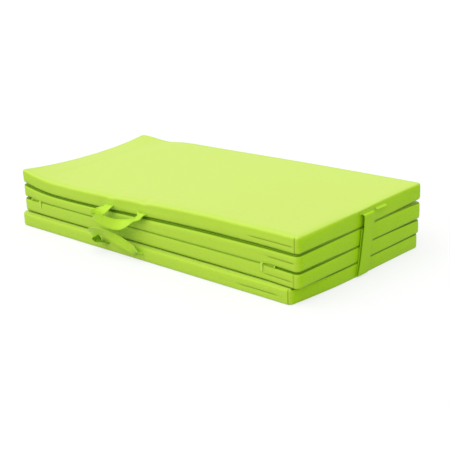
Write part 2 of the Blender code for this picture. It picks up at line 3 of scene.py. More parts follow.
import bmesh
import bpy
from mathutils import Matrix, Vector, noise
from mathutils.bvhtree import BVHTree
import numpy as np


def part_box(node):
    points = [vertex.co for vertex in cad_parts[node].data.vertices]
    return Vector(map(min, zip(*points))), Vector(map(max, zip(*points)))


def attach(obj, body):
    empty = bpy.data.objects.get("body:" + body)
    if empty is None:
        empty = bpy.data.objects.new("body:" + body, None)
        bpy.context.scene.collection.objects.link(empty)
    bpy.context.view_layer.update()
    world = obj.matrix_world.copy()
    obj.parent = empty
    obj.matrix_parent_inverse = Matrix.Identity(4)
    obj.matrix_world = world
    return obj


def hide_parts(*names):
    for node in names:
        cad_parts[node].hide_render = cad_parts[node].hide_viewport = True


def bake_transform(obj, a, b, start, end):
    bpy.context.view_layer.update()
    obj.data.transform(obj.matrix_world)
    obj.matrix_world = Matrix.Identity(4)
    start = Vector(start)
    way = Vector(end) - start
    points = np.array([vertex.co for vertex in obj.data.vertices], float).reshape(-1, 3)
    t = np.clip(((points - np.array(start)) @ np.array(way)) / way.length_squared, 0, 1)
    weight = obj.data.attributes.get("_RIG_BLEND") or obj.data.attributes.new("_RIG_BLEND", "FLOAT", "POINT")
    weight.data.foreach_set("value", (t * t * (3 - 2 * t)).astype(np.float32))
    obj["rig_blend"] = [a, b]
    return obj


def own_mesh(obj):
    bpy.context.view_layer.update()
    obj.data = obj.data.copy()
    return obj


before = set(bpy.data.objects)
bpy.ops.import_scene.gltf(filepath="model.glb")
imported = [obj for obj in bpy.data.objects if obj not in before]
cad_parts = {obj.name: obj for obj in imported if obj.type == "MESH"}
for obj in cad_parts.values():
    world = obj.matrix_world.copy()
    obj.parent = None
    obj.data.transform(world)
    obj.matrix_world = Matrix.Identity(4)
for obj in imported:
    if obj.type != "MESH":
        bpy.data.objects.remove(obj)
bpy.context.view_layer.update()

# The camera stands where the photograph was taken from: out to the right of the front, 3.5 m away and a little
# above the stack, and rolled by two degrees. Its place and lens were fitted to the stack's corners.
camera_place = Vector((2.30336582, -2.40432518, 1.16076446))
camera_turn = math.radians(43.06)
camera_rise = math.radians(18.70)
camera_roll = math.radians(-2.33)
focal_pixels = 1068
picture_pixels = 450
film_width = 36
back_way = Vector((math.sin(camera_turn) * math.cos(camera_rise),
                   -math.cos(camera_turn) * math.cos(camera_rise), math.sin(camera_rise)))
level_right = (-back_way).cross(Vector((0, 0, 1))).normalized()
level_up = level_right.cross(-back_way)
rolled_right = level_right * math.cos(camera_roll) + level_up * math.sin(camera_roll)
rolled_up = level_up * math.cos(camera_roll) - level_right * math.sin(camera_roll)
bpy.ops.object.camera_add()
camera = bpy.context.object
camera.matrix_world = Matrix.Translation(camera_place) @ Matrix(
    (rolled_right, rolled_up, back_way)).transposed().to_4x4()
camera.data.sensor_width = film_width
camera.data.lens = focal_pixels * film_width / picture_pixels
bpy.context.scene.camera = camera
bpy.context.scene.view_settings.view_transform = "Standard"


# The studio: an even white floor without an edge in view, a white room for soft light from all round, and one
# broad lamp high up over the front. The floor is whiter to the camera, so only the contact shadow stays dark.
floor_radius = 16
floor_grey = 0.55
floor_white = 0.86
floor_glow_share = 0.70
room_strength = 0.74
lamp_strength = 1.8
lamp_angle = math.radians(78)
lamp_from = Vector((-0.10, -0.42, 0.90))


def plug(tree, node, inputs):
    """Sets a shader node's inputs, or links them to other sockets."""
    for key, value in inputs:
        if isinstance(value, bpy.types.NodeSocket):
            tree.links.new(value, node.inputs[key])
        else:
            node.inputs[key].default_value = value


def add_node(tree, kind, inputs=(), **settings):
    """Adds a shader node with its settings and its inputs."""
    made = tree.nodes.new(kind)
    for name, value in settings.items():
        setattr(made, name, value)
    plug(tree, made, inputs)
    return made


def maths(tree, operation, *values):
    """What an operation makes of its values."""
    return add_node(tree, "ShaderNodeMath", enumerate(values), operation=operation).outputs[0]


def spread(tree, amount, low, high, low_at=0.0, high_at=1.0):
    """A value that runs from low to high as the amount goes from one place to the other."""
    return add_node(tree, "ShaderNodeMapRange", (
        (0, amount), (1, low_at), (2, high_at), (3, low), (4, high))).outputs[0]


def seen_directly(tree):
    """1 for rays from the camera, a mirror or a pane, and 0 for the rays that light the scene."""
    path = add_node(tree, "ShaderNodeLightPath")
    mirror = maths(tree, "MAXIMUM", path.outputs["Is Camera Ray"], path.outputs["Is Glossy Ray"])
    return maths(tree, "MAXIMUM", mirror, path.outputs["Is Transmission Ray"])


bpy.ops.mesh.primitive_circle_add(vertices=64, radius=floor_radius, fill_type="NGON")
floor = bpy.context.object
floor.name = "floor"
floor_finish = bpy.data.materials.new("studio_floor")
floor_finish.use_nodes = True
floor_tree = floor_finish.node_tree
floor_tree.nodes.clear()
floor_shade = spread(floor_tree, seen_directly(floor_tree), floor_grey, floor_white)
floor_paint = add_node(floor_tree, "ShaderNodeBsdfDiffuse", (("Color", floor_shade),))
floor_glow = add_node(floor_tree, "ShaderNodeEmission", (("Strength", 1.0),))
floor_share = maths(floor_tree, "MULTIPLY", seen_directly(floor_tree), floor_glow_share)
floor_mix = add_node(floor_tree, "ShaderNodeMixShader", (
    (0, floor_share), (1, floor_paint.outputs[0]), (2, floor_glow.outputs[0])))
add_node(floor_tree, "ShaderNodeOutputMaterial", ((0, floor_mix.outputs[0]),))
floor.data.materials.append(floor_finish)

room = bpy.data.worlds.new("studio_room")
bpy.context.scene.world = room
room.use_nodes = True
room.node_tree.nodes.clear()
room_level = spread(room.node_tree, seen_directly(room.node_tree), room_strength, 1.0)
room_light = add_node(room.node_tree, "ShaderNodeBackground", (("Color", (1, 1, 1, 1)), ("Strength", room_level)))
add_node(room.node_tree, "ShaderNodeOutputWorld", ((0, room_light.outputs[0]),))

bpy.ops.object.light_add(type="SUN")
lamp = bpy.context.object
lamp.name = "broad_lamp"
lamp.data.energy = lamp_strength
lamp.data.angle = lamp_angle
lamp.rotation_euler = lamp_from.to_track_quat("Z", "Y").to_euler()


# The four covers: lime green coated fabric over foam, a fine leathery grain on a woven back. Each is sewn from an
# upper and a lower sheet that meet in a seam round its sides, with an upright seam near the right-hand end of most
# fronts. The middle two close in on the zip at the front. A short cloth simulation swells each over its foam.
half_length, half_depth = 0.600, 0.300
stack_height = 0.200
panel_pitch = 0.050
panel_gap = 0.0003
edge_round = 0.0098  # the radius that the filled edges turn over with
end_sharper = 0.0052  # how much less it is at the back right, where the fabric is pulled tight
upper_round = 0.0072  # the top panel's upper edge
upper_sharper_share = 0.3
pressed_round = 0.0050  # the bottom panel's lower edge, pressed on the floor
zipped_round = 0.0022  # the edges on the zip between its sliders, and the stretch over which they open past them
zipped_low, zipped_high, zip_opens_over = -0.512, 0.470, 0.040
seam_depth = 0.0007
seam_half_width = 0.0013
hidden_seam_share, shown_seam_share = 0.25, 1.3  # of that depth all round, and how much more at the stitches
sewn_fades_in, sewn_fades_out = 0.020, 0.008
upright_depth, upright_half_width = 0.0011, 0.0014
side_puff = 0.0012
ripple_height, ripple_scale, ripple_layer = 0.0005, 21, 60
crease_from = 0.44  # the share of an edge's rounding past which painted shade darkens the fabric, in the gaps between the panels
# How sharply the painted shade sets in, how much of it the zipped edges keep and over what widening of their round, how
# much painted shade the lower rounded edges get, and how much of it the bottom panel's front keeps
crease_softness = 0.85
zipped_crease_share, crease_grows_over = 0.10, 0.002
underside_painted_shade, bottom_front_crease = 0.36, 0.2
front_painted_light_share = 0.5  # the wide faces get the whole of the painted light, and the front and the left-hand end this share of it
# How much the painted light fades within a width of the wide faces' rims, and how strongly painted shade takes it away
rim_light_fade, rim_width = 0.35, 0.030
shade_hides_painted_light = 1.6
front_give = 0.0018  # the outer panels' fronts and all the backs start this much inside their faces
back_give = 0.0005
strap_flat_reach = 0.075
swell_pressure = 4.0
swell_frames = 14
swell_cap = 0.0014
free_band = 0.090  # how far in from its edges the top panel's upper sheet is free of the foam
short_side_draw = 0.0030
top_crown = 0.0050
# The sag of the upper panels: the height it starts at, how deep, where along the front and over what run, and what
# is left of it at the left-hand end and the back. Then the dips at that end and along the back, and the back's rise
sag_foot, sag_depth, sag_at, sag_run = 0.104, 0.0160, -0.420, 0.750
left_sag_share = back_sag_share = 0.35
end_dip, end_dip_length = 0.0135, 0.200
back_dip, back_dip_at, back_dip_width = 0.0090, -0.490, 0.066
back_rise = 0.0120
# How much further each joint of the stack, from the floor up to the top face, has gone down in the soft hollow to
# the left of the front, and at the right-hand end where the weight of the panels has pressed the lower two
hollow_drops = (0.0, 0.0010, 0.0020, 0.0120, 0.0085)
hollow_run = 0.80
end_drops = (0.0, 0.0050, 0.0072, 0.0030, 0.0)
end_drops_from = 0.475
end_drop_at_sides = 0.55
# Where the corners and ends leave the straight box: the parts that do, from where and over what run, and how far
right_from, right_run = 0.30, 0.30
left_from, left_run = -0.36, 0.24
bottom_front_in, bottom_front_from, bottom_front_run = 0.022, -0.06, 0.25
left_back_in = 0.018
left_out, left_back_out, left_corner_up = 0.0045, 0.0100, 0.0050
top_corner_up, middle_corner_pinch = 0.0060, 0.0030
strap_across = 0.023
# The grid lines of a panel: in from its sides, up from its lower edge, about its side seam and down from its upper
# edge, and how many there are along and across
edge_lines = (0, 0.0022, 0.0044, 0.0068, 0.0092, 0.0118, 0.0138, 0.0152, 0.0166, 0.0200, 0.0260, 0.0340)
rises = (0, 0.0018, 0.0038, 0.0062, 0.0088, 0.0118, 0.0155)
by_seam = (-0.0022, -0.0009, 0, 0.0009, 0.0022, 0.0055, 0.0105)
falls = (0.0118, 0.0088, 0.0062, 0.0038, 0.0018, 0)
cover_grid, foam_grid = (110, 60), (50, 36)
# Each panel: its name, its level, the plan radius of its corners at front left, front right, back left and back
# right, how far the upright seam lies in from its front right corner, how far its back right corner stands out, and
# its side seam's height and where that shows its stitches along the front
panel_table = (
    ("bottom", 0, (0.022, 0.015, 0.022, 0.018), 0.0092, 0.000, (0.0215, 0.390, 0.554)),
    ("third", 1, (0.016, 0.015, 0.020, 0.014), 0.0150, 0.004, (0.0215, 0.472, 0.581)),
    ("second", 2, (0.016, 0.014, 0.022, 0.014), 0.000, 0.008, (0.0262, 0.486, 0.590)),
    ("top", 3, (0.0110, 0.0115, 0.016, 0.012), 0.0120, 0.008, (0.0215, 0.418, 0.584)),
)
# Where the upper handle's sewn ends pull the top panel's front in and down, and hold it against the swelling
pulled_at = (-0.154, -0.006)
pulled_in, pulled_down, pulled_width, pulled_back = 0.0004, 0.0048, 0.017, 0.035
held_by_root = 0.024


def bell(distance, width):
    return math.exp(-(distance / width) ** 2)


def clamped(share):
    return min(1.0, max(0.0, share))


def eased(share):
    """The same share from 0 to 1, with a soft start and a soft end."""
    return share * share * (3 - 2 * share)


def hump(x, run, at_left):
    """1 where the sag is deepest, falling softly to 0 over a run to the right and to at_left at the left-hand end."""
    if x < sag_at:
        return max(0.0, 1 - (1 - at_left) * ((sag_at - x) / (sag_at + half_length)) ** 2)
    return 0.5 + 0.5 * math.cos(math.pi * min((x - sag_at) / run, 1.0))


def settled(place):
    """Where a point of the straight stack goes: the upper panels sag to the left of the front, and the fold at
    the back holds the right-hand end up."""
    x, y, z = place
    height_share = max(0.0, (z - sag_foot) / (stack_height - sag_foot))
    across_share = back_sag_share + (1 - back_sag_share) * (0.5 - y / half_depth / 2)
    dip_share = max(0.0, (end_dip_length - half_length - x) / end_dip_length) ** 2 * (1 - (y / half_depth) ** 2)
    rise = back_rise * max(0.0, y / half_depth) * clamped(0.5 + x / half_length / 2)
    drop = sag_depth * hump(x, sag_run, left_sag_share) * across_share + end_dip * dip_share
    drop += back_dip * bell(x - back_dip_at, back_dip_width) * max(0.0, y / half_depth) ** 2
    joint = min(max(z / panel_pitch, 0.0), 3.9999)
    below, part = int(joint), joint - int(joint)
    hollow = hump(x, hollow_run, 0.0) * (0.5 - y / half_depth / 2)
    pressed = eased(clamped((x - end_drops_from) / (half_length - end_drops_from)))
    pressed *= end_drop_at_sides + (1 - end_drop_at_sides) * (1 - (y / half_depth) ** 2)
    further = hollow * (hollow_drops[below] * (1 - part) + hollow_drops[below + 1] * part)
    further += pressed * (end_drops[below] * (1 - part) + end_drops[below + 1] * part)
    return Vector((x, y, z - height_share * (drop - rise) - further))


def cut_evenly(piece, cuts):
    """Subdivides a fresh primitive by that many cuts along X, Y and Z, edges of one direction at a time."""
    bpy.ops.object.mode_set(mode="EDIT")
    bpy.ops.mesh.select_mode(type="EDGE")
    for axis, count in enumerate(cuts):
        bpy.ops.mesh.select_all(action="DESELECT")
        shape = bmesh.from_edit_mesh(piece.data)
        for edge in shape.edges:
            run = edge.verts[1].co - edge.verts[0].co
            edge.select_set(abs(run[axis]) > 0.99 * run.length)
        bmesh.update_edit_mesh(piece.data)
        if count and any(edge.select for edge in shape.edges):
            bpy.ops.mesh.subdivide(number_cuts=count)
    bpy.ops.object.mode_set(mode="OBJECT")


def fresh_block(name, low, high, cuts=(0, 0, 0)):
    """A box from low to high with its sides cut into a grid."""
    bpy.ops.mesh.primitive_cube_add(size=1, location=(low + high) / 2, scale=high - low)
    block = bpy.context.object
    block.name = name
    bpy.ops.object.transform_apply()
    cut_evenly(block, cuts)
    return block


def picked(piece):
    """Selects one piece alone and makes it the active one."""
    bpy.ops.object.select_all(action="DESELECT")
    bpy.context.view_layer.objects.active = piece
    piece.select_set(True)


def apply_modifier(piece, kind, **settings):
    """Adds a modifier, sets it and applies it."""
    picked(piece)
    added = piece.modifiers.new("finish", kind)
    for name, value in settings.items():
        setattr(added, name, value)
    bpy.ops.object.modifier_apply(modifier=added.name)


def lines_between(low, high, near_edge, count):
    """Places of grid lines from low to high: the near_edge distances at both ends, and even ones between."""
    inner = count - 2 * len(near_edge)
    first, last = low + near_edge[-1], high - near_edge[-1]
    middle = [first + (last - first) * (step + 1) / (inner + 1) for step in range(inner)]
    return [low + d for d in near_edge] + middle + [high - d for d in reversed(near_edge)]


def rounding_at(level, x, y, above):
    """The radius of an edge: small where the zip draws the fabric in between its sliders, full elsewhere."""
    if level == 0 and not above:
        return pressed_round
    backward = clamped((y + 0.25) / 0.30)
    tight = end_sharper * max(0.0, (x - right_from) / right_run) * (0.5 + 0.5 * eased(backward))
    if level == 3 and above:
        return upper_round - upper_sharper_share * tight
    full = edge_round - tight
    if y < 0 and ((level == 1 and above) or (level == 2 and not above)):
        opening = clamped(max(zipped_low - x, x - zipped_high) / zip_opens_over)
        return zipped_round + (full - zipped_round) * eased(opening)
    return full


def outside_corner(place, low, high, radii):
    """Rounds the plan: gives the moved place, the outward way and the distance in from the nearest side."""
    middle = (low + high) / 2
    half = (high - low) / 2
    right, back = place.x > middle.x, place.y > middle.y
    radius = radii[2 * back + right]
    over_x = (abs(place.x - middle.x) - half.x + radius) / radius
    over_y = (abs(place.y - middle.y) - half.y + radius) / radius
    sign_x, sign_y = (1 if right else -1), (1 if back else -1)
    inside = radius * (1 - max(over_x, over_y))
    moved = place.copy()
    if over_x > 0 and over_y > 0:
        outward = Vector((over_x, over_y, 0)).normalized()
        furthest = radius * max(over_x, over_y)
        moved.x = middle.x + sign_x * (half.x - radius + furthest * outward.x)
        moved.y = middle.y + sign_y * (half.y - radius + furthest * outward.y)
        outward = Vector((sign_x * outward.x, sign_y * outward.y, 0))
    elif over_x > over_y:
        outward = Vector((sign_x, 0, 0))
    else:
        outward = Vector((0, sign_y, 0))
    return moved, outward, max(inside, 0.0)


def filled_panel(name, low, high, level, radii, upright_seam, corner_out, side_seam, seamed=True):
    """A filled panel with its edges rounded and its seams drawn in. It marks on its points where stitches lie, with the
    painted shade of their grooves, where painted shade darkens its folds and gaps and where painted light makes it
    paler, and collects those that the swelling holds."""
    seam_rise, sewn_from, sewn_to = side_seam
    along, across = cover_grid if seamed else foam_grid
    lines = (lines_between(low.x, high.x, edge_lines, along), lines_between(low.y, high.y, edge_lines, across),
             [low.z + rise for rise in rises] + [low.z + seam_rise + d for d in by_seam] + [high.z - d for d in falls])
    panel = fresh_block(name, low, high, [len(line) - 2 for line in lines])
    for word in ("stitch_line", "crease_shade", "painted_light_share"):
        panel.data.attributes.new(word, "FLOAT", "POINT")
    marks = panel.data.attributes
    sides = high - low
    held = []
    for vert in panel.data.vertices:
        start = Vector()
        for axis in range(3):
            start[axis] = lines[axis][round((vert.co[axis] - low[axis]) / sides[axis] * (len(lines[axis]) - 1))]
        place, outward, inside = outside_corner(start, low, high, radii)
        above = start.z > (low.z + high.z) / 2
        rounding = rounding_at(level, start.x, start.y, above)
        near_side = max(0.0, 1 - inside / rounding)
        near_edge = max(0.0, 1 - min(start.z - low.z, high.z - start.z) / rounding)
        mark, crease_shade = 0.0, 0.0
        # Painted light: the wide faces are painted paler, where the lamp and the sky fall on them, and the front and
        # the left-hand end by a share of it
        toward_side = near_side ** 2 / max(near_side ** 2 + near_edge ** 2, 0.0001)
        painted_light_share = 1 - toward_side + toward_side * front_painted_light_share * max(0.0, -outward.y, -outward.x)
        if near_side > 0:
            # Painted shade, in the gaps between the panels and under their lower rounded edges
            if not (level == 3 and above) and not (level == 0 and not above):
                crease_shade = clamped((near_edge - crease_from) / (1 - crease_from)) * near_side
                open_share = (rounding - zipped_round) / crease_grows_over
                crease_shade *= min(1.0, zipped_crease_share + (1 - zipped_crease_share) * open_share)
                crease_shade = max(crease_shade ** crease_softness, (not above) * underside_painted_shade * near_edge * near_side)
                crease_shade *= bottom_front_crease if level == 0 and outward.y < -0.5 else 1.0
            fit = max(near_side, near_edge) / math.hypot(near_side, near_edge)
            place += outward * rounding * near_side * (fit - 1)
            place.z += (1 if above else -1) * rounding * near_edge * (fit - 1)
            side_share = near_side * fit
            from_middle = (place.z - (low.z + high.z) / 2) / (sides.z / 2)
            zipped = clamped(1 - (rounding - zipped_round) / (edge_round - zipped_round))
            fullness = (1 - from_middle ** 2) * (1 - zipped) + (1 - from_middle ** 6) * zipped
            on_front = max(0.0, -outward.y)
            by_strap = max(0.0, outward.x) * bell(start.y - strap_across, strap_flat_reach)
            puff = side_puff * fullness * (1 - by_strap)
            sewn = on_front * min(clamped((place.x - sewn_from) / sewn_fades_in),
                                  clamped((sewn_to - place.x) / sewn_fades_out))
            seam = seamed * bell(place.z - low.z - seam_rise, seam_half_width)
            upright = on_front * (upright_seam > 0) * bell(high.x - upright_seam - start.x, upright_half_width)
            # Where the stitches lie; the cover's finish paints the shade of the seam groove there
            mark = max(seam * sewn, upright * (near_side >= 1))
            ripple = ripple_height * noise.noise(Vector((
                place.x * ripple_scale, place.y * ripple_scale, low.z * ripple_layer)))
            drawn_in = seam_depth * seam * (hidden_seam_share + shown_seam_share * sewn)
            place += outward * side_share * (
                puff - drawn_in - upright_depth * upright + ripple
                - abs(outward.x) * short_side_draw * (1 - (start.y / half_depth) ** 2))
        if level == 3 and above:
            s = (place.x - low.x) / sides.x
            t = (place.y - low.y) / sides.y
            place.z += top_crown * max(0.0, math.sin(math.pi * s)) ** 0.7 * max(0.0, math.sin(math.pi * t)) ** 0.7
        back_share = max(0.0, place.y / half_depth)
        right_share = max(0.0, (place.x - right_from) / right_run)
        place.x += corner_out * back_share ** 2 * right_share
        if level == 0:
            place.x -= bottom_front_in * max(0.0, (bottom_front_from - place.y) / bottom_front_run) ** 1.5 * right_share
        left_share = max(0.0, (left_from - place.x) / left_run)
        if level > 0:
            place.y -= left_back_in * left_share ** 2 * back_share ** 1.5
        to_corner = left_share ** 2 * (place.y / half_depth) ** 2
        place.x -= left_out * left_share ** 2 + left_back_out * left_share ** 2 * back_share ** 3 * level / 3
        place.z += left_corner_up * to_corner * level / 3
        if level == 3:
            pull = max(bell(place.x - at, pulled_width) for at in pulled_at)
            pull *= bell(max(0.0, place.y + half_depth), pulled_back)
            place.y += pulled_in * pull
            place.z -= pulled_down * pull * max(0.0, (place.z - low.z) / sides.z)
        pinch = right_share ** 3 * back_share ** 3
        if level == 3 and not above:
            place.z += top_corner_up * pinch
        if level in (1, 2):
            place.z += (-1 if above else 1) * middle_corner_pinch * pinch
        vert.co = settled(place)
        # The painted light fades near the rims of the wide faces and gives way to the painted shade
        if near_side == 0:
            painted_light_share -= rim_light_fade * max(0.0, 1 - (inside - rounding) / rim_width) ** 2
        painted_light_share *= 1 - min(1.0, shade_hides_painted_light * crease_shade)
        for word, value in (("stitch_line", mark), ("crease_shade", crease_shade), ("painted_light_share", painted_light_share)):
            marks[word].data[vert.index].value = value
        at_root = level == 3 and not above and min(abs(start.x - at) for at in pulled_at) < held_by_root
        zipped_edge = rounding < 0.5 * (edge_round + zipped_round) and near_edge > 0
        on_face = near_side == 0 and not (level == 3 and above and inside < free_band)
        if on_face or mark > 0.4 or at_root or zipped_edge or outward.y > 0.5:
            held.append(vert.index)
    panel.vertex_groups.new(name="held").add(held, 1.0, "REPLACE")
    return panel


def swell(cover):
    """Lets the fabric swell over its foam: a short cloth simulation with a little pressure inside, held where the
    cover is sewn or pressed. No point moves further than the fabric gives."""
    picked(cover)
    cloth = cover.modifiers.new("swelling", "CLOTH")
    for name, value in (
            ("quality", 4), ("mass", 0.3), ("tension_stiffness", 20), ("compression_stiffness", 10),
            ("shear_stiffness", 8), ("bending_stiffness", 0.6), ("vertex_group_mass", "held"),
            ("use_pressure", True), ("uniform_pressure_force", swell_pressure)):
        setattr(cloth.settings, name, value)
    cloth.settings.effector_weights.gravity = 0
    cloth.point_cache.frame_start, cloth.point_cache.frame_end = 1, swell_frames
    for step in range(1, swell_frames + 1):
        bpy.context.scene.frame_set(step)
    finished = cover.evaluated_get(bpy.context.evaluated_depsgraph_get()).data
    moves = [after.co - before.co for before, after in zip(cover.data.vertices, finished.vertices)]
    cover.modifiers.remove(cloth)
    for vert, move in zip(cover.data.vertices, moves):
        vert.co += move * (swell_cap / (swell_cap + move.length))
    bpy.context.scene.frame_set(1)


def fresh_finish(name, drawn_by="Object"):
    """A new material, its node tree, its shader and the places that its patterns are drawn by."""
    finish = bpy.data.materials.new(name)
    finish.use_nodes = True
    tree = finish.node_tree
    where = add_node(tree, "ShaderNodeTexCoord").outputs[drawn_by]
    return finish, tree, tree.nodes["Principled BSDF"], where


def speckle(tree, where, scale, detail):
    """A soft irregular pattern."""
    return add_node(tree, "ShaderNodeTexNoise", (
        ("Vector", where), ("Scale", scale), ("Detail", detail))).outputs["Fac"]


def blended(tree, share, first, second):
    """Two patterns in one, with that share of the second."""
    return add_node(tree, "ShaderNodeMix", ((0, share), (2, first), (3, second)), data_type="FLOAT").outputs[0]


def two_shades(tree, amount, dark, light, dark_at=0.0, light_at=1.0):
    """A colour that runs from a dark to a light shade as the amount goes from one place to the other."""
    shades = add_node(tree, "ShaderNodeValToRGB", (("Fac", amount),))
    for stop, colour, position in zip(shades.color_ramp.elements, (dark, light), (dark_at, light_at)):
        stop.color = (*colour, 1)
        stop.position = position
    return shades.outputs["Color"]


def painted_over(tree, amount, under, over):
    """One colour mixed over another by an amount."""
    return add_node(tree, "ShaderNodeMix", ((0, amount), (6, under), (7, over)), data_type="RGBA").outputs[2]


def raised(tree, height, strength, distance, *over):
    """A relief in the shaded surface, on its own or over another one."""
    return add_node(tree, "ShaderNodeBump", (
        ("Height", height), ("Strength", strength), ("Distance", distance), *over)).outputs[0]


def coated_fabric(name):
    """Lime green coated fabric: a fine pebbled grain over a woven back, with a soft satin shine. Painted light makes it
    paler on the wide faces and the front, and painted shade darker in the folds and gaps and along the seams."""
    finish, tree, shader, where = fresh_finish(name)
    blend = blended(tree, 0.6, speckle(tree, where, 7.0, 3.0), speckle(tree, where, 150.0, 5.0))
    green = two_shades(tree, blend, (0.338, 0.620, 0.002), (0.394, 0.690, 0.004), 0.32, 0.68)
    painted_light_in, mark, crease_shade_in = (add_node(tree, "ShaderNodeAttribute", attribute_name=word).outputs["Fac"]
                           for word in ("painted_light_share", "stitch_line", "crease_shade"))
    # Painted light: paler where the lamp and the sky fall on the wide faces and the front
    painted_lit = painted_over(tree, painted_light_in, green, (0.522, 0.678, 0.104, 1))
    # Painted shade of the seam grooves
    seam_shaded = painted_over(tree, mark, painted_lit, (0.16, 0.27, 0.006, 1))
    # Painted shade in the folds and gaps between the panels and under their lower edges
    crease_shaded = painted_over(tree, maths(tree, "MULTIPLY", crease_shade_in, 0.94), seam_shaded, (0.008, 0.088, 0.0, 1))
    grain = add_node(tree, "ShaderNodeTexVoronoi", (("Vector", where), ("Scale", 640.0)), feature="SMOOTH_F1")
    crinkle = speckle(tree, where, 340.0, 5.0)
    waves = raised(tree, speckle(tree, where, 17.0, 2.0), 0.10, 0.004)
    relief = blended(tree, 0.4, grain.outputs["Distance"], crinkle)
    plug(tree, shader, (
        ("Base Color", crease_shaded), ("Normal", raised(tree, relief, 0.50, 0.0007, ("Normal", waves))),
        ("Roughness", spread(tree, crinkle, 0.39, 0.53, 0.3, 0.7)), ("Specular IOR Level", 0.55),
        ("Specular Tint", (0.66, 1.0, 0.03, 1)), ("Sheen Weight", 0.10), ("Sheen Roughness", 0.24),
        ("Sheen Tint", (0.78, 0.90, 0.28, 1))))
    return finish


def panel_corners(level):
    """The lowest and highest corners of a panel as it was before it settled and filled out."""
    low = Vector((-half_length, -half_depth, panel_pitch * level))
    high = Vector((half_length, half_depth - back_give, panel_pitch * (level + 1) - panel_gap))
    if level == 0:
        low.x, low.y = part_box("bottom_cover")[0].x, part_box("bottom_cover")[0].y
    if level in (0, 3):
        low.y += front_give
    return low, high


covers = {}
for word, level, radii, upright_seam, corner_out, side_seam in panel_table:
    low, high = panel_corners(level)
    cover = filled_panel(word + "_coated_cover", low, high, level, radii, upright_seam, corner_out, side_seam)
    covers[word] = cover
    cover.data.materials.append(coated_fabric(word + "_coated_fabric"))
    swell(cover)


# The foam cores: one slab of cream open-cell foam in each cover, cut a little under its size and pushed in through
# the fold edge. Nothing of them shows while the covers are closed.
foam_inset = Vector((0.0045, 0.0045, 0.0022))


def open_cell_foam():
    """Cream open-cell foam: small round pores between thin walls, a little yellow in the hollows."""
    finish, tree, shader, where = fresh_finish("cream_open_cell_foam")
    pores = add_node(tree, "ShaderNodeTexVoronoi", (("Vector", where), ("Scale", 900.0))).outputs["Distance"]
    depth = blended(tree, 0.35, pores, speckle(tree, where, 14.0, 4.0))
    plug(tree, shader, (
        ("Base Color", two_shades(tree, depth, (0.62, 0.56, 0.38), (0.90, 0.87, 0.76))),
        ("Normal", raised(tree, pores, 0.8, 0.0006)), ("Roughness", 0.95), ("Specular IOR Level", 0.2)))
    return finish


foam_finish = open_cell_foam()
for word, level, radii, _, corner_out, side_seam in panel_table:
    low, high = panel_corners(level)
    slab = filled_panel(word + "_foam_slab", low + foam_inset, high - foam_inset, level, radii, 0.0, corner_out,
                        side_seam, seamed=False)
    picked(slab)
    bpy.ops.object.shade_smooth()
    slab.data.materials.append(foam_finish)
    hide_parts(word + "_foam")
    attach(slab, word + "_panel")

for word, level, *_ in panel_table:
    cover = covers[word]
    apply_modifier(cover, "SUBSURF", levels=1, render_levels=1)
    bpy.ops.object.shade_smooth()
    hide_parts(word + "_cover")
    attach(cover, word + "_panel")


# The seam threads: dark green thread in a lock stitch, where the side seams show near the front right corners, and
# down the upright seams. Each stitch is a short rounded bar that lies in the drawn-in fabric.
stitch_length = 0.0034
stitch_pitch = 0.0046
stitch_thickness = 0.0008
seam_end = 0.012  # where the first stitch of a side seam lies in it
upright_foot, upright_stitches = 0.011, 7


def skin_of(cover):
    """What finds the place on a cover's skin that a straight line meets first."""
    bpy.context.view_layer.update()
    return BVHTree.FromObject(cover, bpy.context.evaluated_depsgraph_get())


def sewing_thread():
    """Dark green polyester thread, twisted from two plies."""
    finish, tree, shader, where = fresh_finish("green_thread")
    twist = add_node(tree, "ShaderNodeTexWave", (("Vector", where), ("Scale", 700.0), ("Distortion", 2.0)),
                     bands_direction="DIAGONAL")
    plug(tree, shader, (
        ("Base Color", two_shades(tree, twist.outputs["Fac"], (0.13, 0.23, 0.006), (0.24, 0.40, 0.012))),
        ("Roughness", 0.62), ("Sheen Weight", 0.2)))
    return finish


bpy.ops.mesh.primitive_uv_sphere_add(segments=6, ring_count=4, radius=0.5)
first_stitch = bpy.context.object
bpy.ops.transform.rotate(value=math.radians(90), orient_axis="Y", center_override=(0, 0, 0))
bpy.ops.object.transform_apply()
thread_finish = sewing_thread()
skins = {word: skin_of(cover) for word, cover in covers.items()}
for word, level, _, upright_seam, _, (seam_rise, sewn_from, sewn_to) in panel_table:
    seam_places = [(sewn_from + seam_end + step * stitch_pitch, seam_rise, False)
                   for step in range(int((sewn_to - sewn_from - seam_end) / stitch_pitch))]
    if upright_seam:
        seam_places += [(half_length - upright_seam, upright_foot + step * stitch_pitch, True)
                        for step in range(upright_stitches)]
    stitches = []
    for x, rise, upright in seam_places:
        z = settled((x, -half_depth, panel_pitch * level + rise)).z
        hit = skins[word].ray_cast(Vector((x, -0.4, z)), Vector((0, 1, 0)))[0]
        if hit is None:
            continue
        picked(first_stitch)
        bpy.ops.object.duplicate()
        stitch = bpy.context.object
        wide, high = (stitch_thickness, stitch_length) if upright else (stitch_length, stitch_thickness)
        bpy.ops.transform.resize(value=(wide, stitch_thickness, high))
        bpy.ops.transform.translate(value=hit)
        stitches.append(stitch)
    picked(stitches[0])
    for stitch in stitches:
        stitch.select_set(True)
    bpy.ops.object.join()
    thread = bpy.context.object
    thread.name = word + "_seam_thread"
    bpy.ops.object.transform_apply()
    bpy.ops.object.shade_smooth()
    thread.data.materials.append(thread_finish)
    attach(thread, word + "_panel")
bpy.data.objects.remove(first_stitch)


